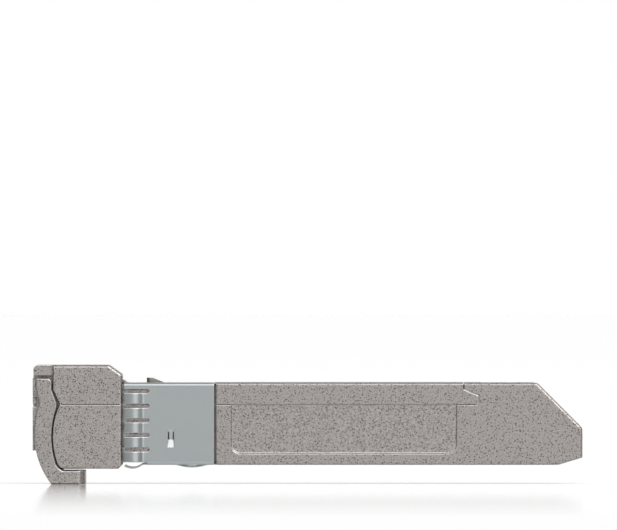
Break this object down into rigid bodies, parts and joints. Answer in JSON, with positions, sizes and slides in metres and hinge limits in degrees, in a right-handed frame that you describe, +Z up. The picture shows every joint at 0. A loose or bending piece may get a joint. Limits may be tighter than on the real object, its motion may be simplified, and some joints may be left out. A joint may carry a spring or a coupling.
{
  "type": "pluggable optical transceiver module",
  "caption": "Pluggable fibre transceiver: cast housing, duplex fibre ports, spring collar, lever with cam-driven latch rocker, and edge-plug circuit board.",
  "frame": {"origin": "middle of the footprint, level with the underside of the lever's foot", "axes": "+X from the fibre head to the tail, +Z up with the latch side on top, +Y across the width"},
  "size_m": [0.0568, 0.0142, 0.0123],
  "materials": {
    "cast_zinc": "bead-blasted nickel-plated zinc casting, satin",
    "cast_lever": "bead-blasted nickel-plated zinc casting, satin",
    "spring_steel": "rolled stainless spring sheet",
    "latch_steel": "nickel-plated, satin",
    "turned_steel": "turned",
    "zirconia": "polished",
    "gilt_can": "gold flash",
    "amber_flex": "polyimide film",
    "black_plastic": "moulded",
    "green_board": "solder mask",
    "gold": "hard gold plate",
    "chip_black": "moulded",
    "soft_pad": "matt",
    "capacitor_tan": "matt"
  },
  "bodies": {
    "housing": {"base_shell": "cast_zinc", "cover_shell": "cast_zinc", "spring_collar": "spring_steel", "rocker_spring": "spring_steel", "transmit_barrel": "turned_steel", "transmit_sleeve": "zirconia", "transmit_stub": "zirconia", "transmit_can": "gilt_can", "transmit_flex": "amber_flex", "receive_barrel": "turned_steel", "receive_sleeve": "zirconia", "receive_stub": "zirconia", "receive_can": "gilt_can", "receive_flex": "amber_flex", "optics_clamp": "black_plastic", "circuit_board": "green_board", "upper_contacts": "gold", "lower_contacts": "gold", "driver_chip": "chip_black", "thermal_pad": "soft_pad", "amplifier_chip": "chip_black", "controller_chip": "chip_black", "capacitors": "capacitor_tan", "resistors": "chip_black"},
    "lever": {"bail_lever": "cast_lever"},
    "rocker": {"latch_rocker": "latch_steel"}
  },
  "joints": [
    {"name": "lever_hinge", "type": "hinge", "parent": "housing", "child": "lever", "pos_m": [-0.0272, 0, 0.0101], "axis": [0, 1, 0], "range_deg": [0, 90]},
    {"name": "rocker_pivot", "type": "hinge", "parent": "housing", "child": "rocker", "pos_m": [-0.023, 0, 0.0103], "axis": [0, 1, 0], "range_deg": [0, 4.8], "deforming": ["rocker_spring"]}
  ],
  "couplings": [
    {"joint": "rocker_pivot", "follows": "lever_hinge", "ratio": 0.053333}
  ]
}
